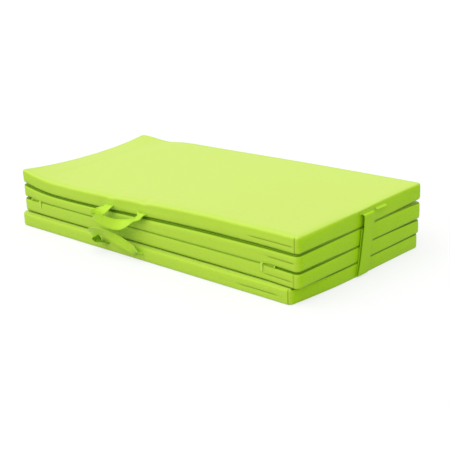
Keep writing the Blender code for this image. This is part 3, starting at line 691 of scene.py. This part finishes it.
# The strips over the two folds at the back: coated fabric cut in bands and sewn to the back faces of both panels,
# with a row of stitches along each long edge. They bend where the panels fold.
strip_height = 0.044
strip_thickness = 0.0008
strip_stand = 0.0004
strip_end = 0.556
bridge_width = 0.010  # the stretch that spans the gap between the panels, and how far it may give into it
bridge_give = 0.0180
bridge_left_in = 0.0178
dash_pitch = 0.0042  # of the stitches drawn on a ribbon
wave_share = 0.314  # a wave pattern's scale is this over its pitch


def fresh_strip(name, length, width, along, across):
    """A flat strip on the ground, its length along X and cut into a grid, with its UV map running 0 to 1."""
    bpy.ops.mesh.primitive_plane_add(size=1, scale=(length, width, 1))
    strip = bpy.context.object
    strip.name = name
    bpy.ops.object.transform_apply()
    strip.data.transform(Matrix.Diagonal((length / strip.dimensions.x, width / strip.dimensions.y, 1, 1)))
    cut_evenly(strip, (along, across, 0))
    return strip


def laid_along(strip, length, place_at):
    """Moves each point of a flat strip to where place_at puts its share along and its distance across."""
    for vert in strip.data.vertices:
        vert.co = place_at(vert.co.x / length + 0.5, vert.co.y)


def thickened(piece, thickness, edge=0.0, segments=2):
    """Gives a sheet its thickness, and its edges a small round where it is thick enough to show."""
    apply_modifier(piece, "SOLIDIFY", thickness=thickness, offset=0)
    if edge:
        apply_modifier(piece, "BEVEL", width=edge, segments=segments, limit_method="ANGLE",
                       angle_limit=math.radians(50))
    bpy.ops.object.shade_smooth()


def sewn_ribbon(name, length, width, rib, edge_seam, light_paint=0.15, smooth=0.5, painted_shade_run=0.0):
    """Lime fabric band: fine ribs across it, and a row of stitches along each edge, read from its own UV map. Painted
    light makes it as pale as the faces that it lies on, and painted shade deeper green over its start where the bow
    shades it."""
    finish, tree, shader, where = fresh_finish(name, drawn_by="UV")
    flat = add_node(tree, "ShaderNodeMapping", (("Vector", where), ("Scale", (length, width, 1)))).outputs[0]
    apart = add_node(tree, "ShaderNodeSeparateXYZ", ((0, flat),))
    ribs = add_node(tree, "ShaderNodeTexWave", (
        ("Vector", flat), ("Scale", wave_share / rib), ("Distortion", 0.6), ("Detail", 1.0)))
    threads = add_node(tree, "ShaderNodeTexWave", (
        ("Vector", flat), ("Scale", wave_share / (rib * 1.6)), ("Distortion", 0.4)), bands_direction="Y")
    dashes = add_node(tree, "ShaderNodeTexWave", (("Vector", flat), ("Scale", wave_share / dash_pitch)))
    weave = maths(tree, "MULTIPLY", ribs.outputs["Fac"], threads.outputs["Fac"])
    fibres = speckle(tree, flat, 160.0, 4.0)
    body = blended(tree, 0.5, weave, fibres)
    # Painted light: the colours grow paler by the given share, to match the painted light on the faces
    colour = two_shades(
        tree, body, (0.320 + 0.15 * light_paint, 0.620 + 0.08 * light_paint, 0.001 + 0.06 * light_paint),
        (0.400 + 0.16 * light_paint, 0.700 + 0.09 * light_paint, 0.004 + 0.10 * light_paint), 0.20, 0.75)
    from_middle = maths(tree, "ABSOLUTE", maths(tree, "SUBTRACT", apart.outputs["Y"], width / 2))
    on_seam = maths(tree, "COMPARE", from_middle, width / 2 - edge_seam, 0.0006)
    thread = maths(tree, "MULTIPLY", on_seam, maths(tree, "GREATER_THAN", dashes.outputs["Fac"], 0.25))
    colour = painted_over(tree, thread, colour, (0.336, 0.528, 0.016, 1))
    # Painted shade over the start of the ribbon, where the bow shades it
    if painted_shade_run > 0:
        depth = spread(tree, apart.outputs["X"], 0.80, 0.0, painted_shade_run, painted_shade_run + 0.035)
        colour = painted_over(tree, depth, colour, (0.08, 0.26, 0.0, 1))
    height = maths(tree, "MULTIPLY_ADD", on_seam, -0.8, body)
    plug(tree, shader, (
        ("Base Color", colour), ("Normal", raised(tree, height, 0.45, 0.0004)),
        ("Roughness", spread(tree, fibres, smooth - 0.06, smooth + 0.08, 0.3, 0.7)), ("Sheen Weight", 0.08),
        ("Sheen Tint", (0.80, 0.95, 0.15, 1)), ("Specular IOR Level", 0.28),
        ("Specular Tint", (0.80, 1.0, 0.08, 1))))
    return finish


strip_finish = sewn_ribbon("fold_strip_fabric", 2 * strip_end, strip_height, 0.0009, 0.0040)
for word, level, lower, upper in (("lower", 1, "bottom_panel", "third_panel"),
                                  ("upper", 3, "second_panel", "top_panel")):
    strip = fresh_strip(word + "_fold_band", 2 * strip_end, strip_height, 80, 11)
    below, over = (skins["bottom"], skins["third"]) if level == 1 else (skins["second"], skins["top"])

    def on_back(along, across, level=level, below=below, over=over):
        x = (1 - 2 * along) * strip_end
        place = settled((x, half_depth, level * panel_pitch + across))
        hit = (over if across > 0 else below).ray_cast(Vector((x, 0.4, place.z)), Vector((0, -1, 0)))[0]
        reach = hit.y if hit is not None else half_depth
        bridge = bell(across, bridge_width)
        place.y = max(reach, half_depth - 0.0012 * (1 - bridge) - bridge_give) + strip_stand
        if bridge > 0.2:
            taken_in = bridge_left_in * max(0.0, (left_from - x) / left_run) ** 2
            place.y = max(place.y, half_depth + strip_stand - taken_in)
        return place

    laid_along(strip, 2 * strip_end, on_back)
    apply_modifier(strip, "SMOOTH", factor=0.5, iterations=2)
    thickened(strip, strip_thickness)
    strip.data.materials.append(strip_finish)
    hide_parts(word + "_fold_strip")
    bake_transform(strip, lower, upper, start=(0, half_depth, level * panel_pitch - 0.002),
             end=(0, half_depth, level * panel_pitch + 0.002))


# The zip at the front fold: two woven tapes, sewn inside the covers' edges, each with a moulded row of teeth that
# lock with the other's. Its stops and sliders are zinc, cast and painted lime to match, and the pulls swing freely.
zip_z = 0.100
zip_left_end, zip_right_end = -0.560, 0.520
zip_tape_width = 0.016
tape_thickness = 0.0006
zip_tape_y = -0.2990
tooth_pitch = 0.0030
tooth_size = Vector((0.0018, 0.0021, 0.0017))
row_margin = 0.0045
row_back = -0.2997
tape_flat, tape_slope = 0.003, 0.25  # how much of a tape lies flat behind its row, and how the rest runs back
rows_apart = 0.0002  # each row's and tape's distance from the middle of the zip


def moulded_teeth():
    """Deep green moulded plastic with a slight draw mark on every tooth."""
    finish, tree, shader, where = fresh_finish("green_moulded_teeth")
    mottle = speckle(tree, where, 420.0, 3.0)
    plug(tree, shader, (
        ("Base Color", two_shades(tree, mottle, (0.24, 0.44, 0.006), (0.36, 0.60, 0.010))),
        ("Normal", raised(tree, mottle, 0.2, 0.0002)), ("Roughness", 0.42)))
    return finish


def painted_zinc():
    """Lime paint over cast zinc: an orange-peel skin, a little thinner and duller where fingers rub it."""
    finish, tree, shader, where = fresh_finish("lime_painted_zinc")
    rub = speckle(tree, where, 210.0, 5.0)
    plug(tree, shader, (
        ("Base Color", two_shades(tree, rub, (0.48, 0.73, 0.05), (0.60, 0.80, 0.14), 0.35, 0.78)),
        ("Normal", raised(tree, speckle(tree, where, 900.0, 2.0), 0.3, 0.0002)),
        ("Roughness", spread(tree, rub, 0.22, 0.44)), ("Metallic", 0.15), ("Specular Tint", (1.0, 1.0, 0.40, 1))))
    return finish


tape_length = zip_right_end - zip_left_end
tape_finish = sewn_ribbon("zip_tape_weave", tape_length, zip_tape_width, 0.0007, 0.0030)
tooth_finish = moulded_teeth()
for word, side in (("upper", 1), ("lower", -1)):
    tape = fresh_strip("zip_" + word + "_woven_tape", tape_length, zip_tape_width, 90, 5)

    def behind_teeth(along, across, side=side):
        x = zip_left_end + along * tape_length
        out = zip_tape_width / 2 - side * across
        back = tape_slope * max(0.0, out - tape_flat)
        return settled((x, zip_tape_y + back, zip_z + side * (rows_apart + out)))

    laid_along(tape, tape_length, behind_teeth)
    thickened(tape, tape_thickness)
    tape.data.materials.append(tape_finish)
    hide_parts("zip_" + word + "_tape")
    if side > 0:
        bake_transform(tape, "third_panel", "second_panel",
                 start=(0, zip_tape_y, zip_z + 0.004), end=(0, zip_tape_y, zip_z + 0.010))
    else:
        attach(tape, "third_panel")

    tooth_low = Vector((zip_left_end + row_margin, row_back - tooth_size.y, zip_z + rows_apart))
    row = fresh_block("zip_" + word + "_tooth_row", tooth_low, tooth_low + tooth_size)
    apply_modifier(row, "BEVEL", width=0.0003, segments=1)
    tooth_count = int((tape_length - 2 * row_margin) / tooth_pitch)
    apply_modifier(row, "ARRAY", count=tooth_count, use_relative_offset=False, use_constant_offset=True,
                   constant_offset_displace=(tooth_pitch, 0, 0))
    for vert in row.data.vertices:
        x, y, z = vert.co
        if side < 0:
            x, z = x + tooth_pitch / 2, 2 * zip_z - z
        vert.co = settled((x, y, z))
    if side < 0:
        row.data.flip_normals()
    bpy.ops.object.shade_smooth_by_angle(angle=math.radians(30))
    row.data.materials.append(tooth_finish)
    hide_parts("zip_" + word + "_row")
    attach(row, "third_panel")


def refinish(node, finish):
    """Gives a node that keeps its solid's shape its own look."""
    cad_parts[node].data.materials.clear()
    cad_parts[node].data.materials.append(finish)


zinc_finish = painted_zinc()
for side in ("left", "right"):
    for part in ("stop", "slider", "pull"):
        refinish("zip_" + side + "_" + part, zinc_finish)


# The two carrying handles: fabric ribbon folded to 34 mm and sewn down flat at both ends, under the top panel's
# lower edge and on the front of the bottom panel. Each stands out in a twisted bow and droops to the left.
ribbon_width = 0.034
ribbon_thickness = 0.0016
handle_spacing = 0.148
look_ahead = 0.00003  # how much of its path a ribbon's direction is taken over
# Along from the left end, out from the face and up or down, as shares of the spacing, reach and rise, and then the
# way that the ribbon's width points there: right, out and up
upper_bow = (
    (0.00, 0.00, 0.00, 1.00, 0.00, 0.00), (0.00, 0.16, 0.00, 1.00, 0.00, 0.00),
    (0.01, 0.32, 0.07, 0.92, 0.16, -0.06), (-0.02, 0.55, 0.22, 0.58, 0.50, -0.50),
    (-0.12, 0.80, 0.46, 0.18, 0.30, -0.92), (-0.19, 0.97, 0.62, 0.03, 0.06, -1.00),
    (-0.03, 0.97, 0.82, 0.00, 0.05, -1.00), (0.24, 0.82, 1.00, 0.04, 0.16, -1.00),
    (0.48, 0.63, 1.02, 0.12, 0.48, -0.84), (0.71, 0.47, 0.78, 0.36, 0.82, -0.42),
    (0.89, 0.36, 0.36, 0.74, 0.62, 0.08), (0.985, 0.26, 0.06, 0.99, 0.08, 0.00),
    (1.00, 0.14, 0.00, 1.00, 0.00, 0.00), (1.00, 0.00, 0.00, 1.00, 0.00, 0.00),
)
lower_bow = (
    (0.00, 0.00, 0.00, -1.00, 0.00, 0.00), (0.00, 0.16, 0.00, -1.00, 0.00, 0.00),
    (-0.05, 0.38, 0.14, -0.86, 0.02, 0.36), (-0.13, 0.62, 0.36, -0.62, 0.10, 0.70),
    (-0.17, 0.84, 0.62, -0.44, 0.24, 0.82), (-0.10, 0.96, 0.85, -0.14, 0.42, 0.82),
    (0.07, 0.92, 0.97, 0.05, 0.46, 0.78), (0.28, 0.76, 0.84, 0.18, 0.26, 0.82),
    (0.53, 0.56, 0.60, 0.48, -0.10, 0.70), (0.81, 0.42, 0.32, 0.86, -0.08, 0.28),
    (1.00, 0.34, 0.10, 0.98, 0.00, 0.06), (1.05, 0.26, 0.02, 0.99, 0.00, 0.02),
    (1.06, 0.14, 0.00, 1.00, 0.00, 0.00), (1.06, 0.00, 0.00, 1.00, 0.00, 0.00),
)


def smooth_curve(points, share):
    """A point on the smooth curve through the given points, at a share of the way along their list."""
    place = share * (len(points) - 1)
    step = min(int(place), len(points) - 2)
    t = place - step
    p1, p2 = points[step], points[step + 1]
    p0 = points[step - 1] if step else p1 * 2 - p2
    p3 = points[step + 2] if step + 2 < len(points) else p2 * 2 - p1
    return 0.5 * (2 * p1 + (p2 - p0) * t + (2 * p0 - 5 * p1 + 4 * p2 - p3) * t * t
                  + (3 * p1 - p0 - 3 * p2 + p3) * t * t * t)


def ribbon_station(places, widths, share):
    """The ribbon's middle, and the way across it, at a share of the way along."""
    ahead = smooth_curve(places, min(share + look_ahead, 1)) - smooth_curve(places, max(share - look_ahead, 0))
    ahead.normalize()
    wide = smooth_curve(widths, share)
    return smooth_curve(places, share), (wide - ahead * wide.dot(ahead)).normalized()


# Each handle: its path, the middle of its ends, the face they are sewn to, their height, the reach and rise of its
# bow, how far it stands off and leans back where it is pressed flat between the opened fronts, and how much of its
# left-hand end is painted darker as the shade inside the bow
for word, bow, middle, face_y, root_z, reach, rise, stand, lean, painted_shade_run in (
        ("upper", upper_bow, -0.080, -0.3003, 0.15465, 0.050, -0.042, 0.0016, 0.0, 0.0),
        ("lower", lower_bow, -0.1025, -0.3103, 0.029, 0.040, 0.050, 0.0006, 0.14, 0.058)):
    places, widths = [], []
    for along, out, up, right_share, out_share, up_share in bow:
        places.append(Vector((middle + (along - 0.5) * handle_spacing, face_y - out * reach, root_z + up * rise)))
        widths.append(Vector((right_share, -out_share, up_share)))
    stations = [ribbon_station(places, widths, step / 200) for step in range(201)]
    run = sum((after[0] - before[0]).length for before, after in zip(stations, stations[1:]))
    handle = fresh_strip(word + "_ribbon_handle", run, ribbon_width, 95, 7)

    def on_bow(along, across, places=places, widths=widths):
        at, wide = ribbon_station(places, widths, along)
        return at + wide * across

    laid_along(handle, run, on_bow)
    thickened(handle, ribbon_thickness, 0.0005)
    handle.data.materials.append(sewn_ribbon(
        word + "_handle_ribbon", run, ribbon_width, 0.0011, 0.0032, light_paint=0.55, smooth=0.38, painted_shade_run=painted_shade_run))
    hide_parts(word + "_handle")
    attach(handle, word + "_handle_loop")
    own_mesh(handle)


# The closing strap: 50 mm ribbon sewn in under the top panel's upper edge. It falls over a soft bow, its end is
# turned up behind and carries the hook patch, which holds on to the loop patch on the bottom panel.
strap_width = 0.050
strap_thickness = 0.0015
strap_root = Vector((0.5974, 0, 0.18775))
strap_bow = ((0.6050, 0.18775), (0.60679, 0.18739), (0.60830, 0.18638), (0.60931, 0.18487), (0.60967, 0.1830),
             (0.6087, 0.1560), (0.6074, 0.1080), (0.60602, 0.0560), (0.60586, 0.0300), (0.60586, 0.0068),
             (0.60508, 0.00470), (0.60280, 0.00390), (0.60052, 0.00470), (0.59990, 0.0068),
             (0.59990, 0.0300), (0.60005, 0.0560), (0.60100, 0.1080), (0.60160, 0.1450))
strap_slant = 0.030
strap_top_z, strap_foot_z = 0.187, 0.004
inner_ply_aside = 0.0026
turned_up_at = 10  # the point of its path where the strap's end starts up again
waver_depth, wavers_per_metre = 0.0011, 46


def hanging_over(place):
    """How far over to the front the strap has swung at a height."""
    fallen = max(0.0, (strap_top_z - place.z) / (strap_top_z - strap_foot_z))
    return Vector((place.x, place.y - strap_slant * fallen ** 2, place.z))


strap_places = [strap_root] + [Vector((x, 0, z)) for x, z in strap_bow]
strap_run = sum((after - before).length for before, after in zip(strap_places, strap_places[1:]))
passed = [0.0]
for before, after in zip(strap_places, strap_places[1:]):
    passed.append(passed[-1] + (after - before).length / strap_run)
strap = fresh_strip("ribbon_closing_strap", strap_run, strap_width, 150, 7)


def on_strap(along, across):
    """Where the strap's ribbon runs: straight between its bends, with the inner ply a little to one side."""
    step = max(index for index, share in enumerate(passed[:-1]) if share <= along + 1e-9)
    part = (along - passed[step]) / (passed[step + 1] - passed[step])
    place = strap_places[step].lerp(strap_places[step + 1], min(part, 1.0))
    aside = inner_ply_aside * clamped((along - passed[turned_up_at]) / 0.1)
    waver = waver_depth * math.sin(place.z * wavers_per_metre) * clamped((along - 0.08) / 0.1)
    place.y = strap_across - across - aside + waver
    return hanging_over(place)


laid_along(strap, strap_run, on_strap)
apply_modifier(strap, "SMOOTH", factor=0.5, iterations=3, use_y=False)
thickened(strap, strap_thickness, 0.0004)
strap.data.materials.append(sewn_ribbon("strap_ribbon", strap_run, strap_width, 0.0012, 0.0036))
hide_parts("closing_strap")
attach(strap, "strap")


def pile_tape(name, dots):
    """Hook or loop tape in lime: rows of stiff hooks, or a felt of fine loops."""
    finish, tree, shader, where = fresh_finish(name)
    pile = add_node(tree, "ShaderNodeTexVoronoi", (("Vector", where), ("Scale", dots)))
    mixed = blended(tree, 0.5, pile.outputs["Distance"], speckle(tree, where, dots * 1.7, 5.0))
    plug(tree, shader, (
        ("Base Color", two_shades(tree, mixed, (0.22, 0.36, 0.01), (0.46, 0.68, 0.05))),
        ("Normal", raised(tree, mixed, 0.9, 0.0006)), ("Roughness", 0.85), ("Sheen Weight", 0.3)))
    return finish


refinish("strap_hook_patch", pile_tape("hook_tape", 900.0))
refinish("strap_loop_patch", pile_tape("loop_tape", 1500.0))


# The anchor tape and the side tab: narrow ribbon folded double. The first is sewn flat over the strap's end, and the
# second is sewn in along its top beside the strap, so that its lower lip stands off the panel.
anchor_width = 0.065
anchor_height, anchor_thickness = 0.0052, 0.0016
anchor_z, anchor_stand = 0.1912, 0.0022
tab_width = 0.050
tab_middle = 0.089
tab_root_z = 0.1935
tab_height, tab_thickness = 0.0070, 0.0013
tab_lip = 0.0080
tab_run = tab_height * 2.2
tab_tuck = 0.0012  # how far its end is tucked into the seam
tab_stand = 0.0008


def on_end(y, z):
    """The place on the top panel's right-hand end at a height."""
    hit = skins["top"].ray_cast(Vector((0.7, y, z)), Vector((-1, 0, 0)))[0]
    return hit.x


anchor = fresh_strip("folded_anchor_tape", anchor_width, anchor_height, 30, 5)


def over_strap_end(along, across):
    y = strap_across + (along - 0.5) * anchor_width
    z = anchor_z + across
    return Vector((on_end(y, z) + anchor_stand, y, z))


laid_along(anchor, anchor_width, over_strap_end)
thickened(anchor, anchor_thickness, 0.0006, segments=3)
# The anchor tape gets the full painted light, as its top edge catches the lamp
anchor.data.materials.append(sewn_ribbon(
    "anchor_tape_ribbon", anchor_width, anchor_height, 0.0008, 0.0016, light_paint=1.0))
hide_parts("strap_anchor_tape")
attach(anchor, "top_panel")

tab = fresh_strip("folded_side_tab", tab_width, tab_run, 26, 20)
tab_root_x = on_end(tab_middle, tab_root_z)


def folded_down(along, across):
    """The tab's ribbon: down and out to its lip, round it, and back up behind to the panel."""
    y = tab_middle + (along - 0.5) * tab_width
    down = 0.5 - across / tab_run
    if down < 0.5:
        share = down / 0.5
        drop, out = tab_height * share, tab_stand + (tab_lip - tab_stand) * share ** 1.4
    else:
        share = (down - 0.5) / 0.5
        drop, out = tab_height * (1 - 0.75 * share), tab_lip * (1 - share) ** 1.2 - tab_tuck * share
    z = tab_root_z - drop
    return Vector((max(on_end(y, z), tab_root_x) + out, y, z))


laid_along(tab, tab_width, folded_down)
apply_modifier(tab, "SMOOTH", factor=0.5, iterations=2, use_y=False)
thickened(tab, tab_thickness, 0.0004)
tab.data.materials.append(sewn_ribbon("tab_ribbon", tab_width, tab_run, 0.0010, 0.0030, light_paint=0.45))
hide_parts("side_tab")
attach(tab, "top_panel")
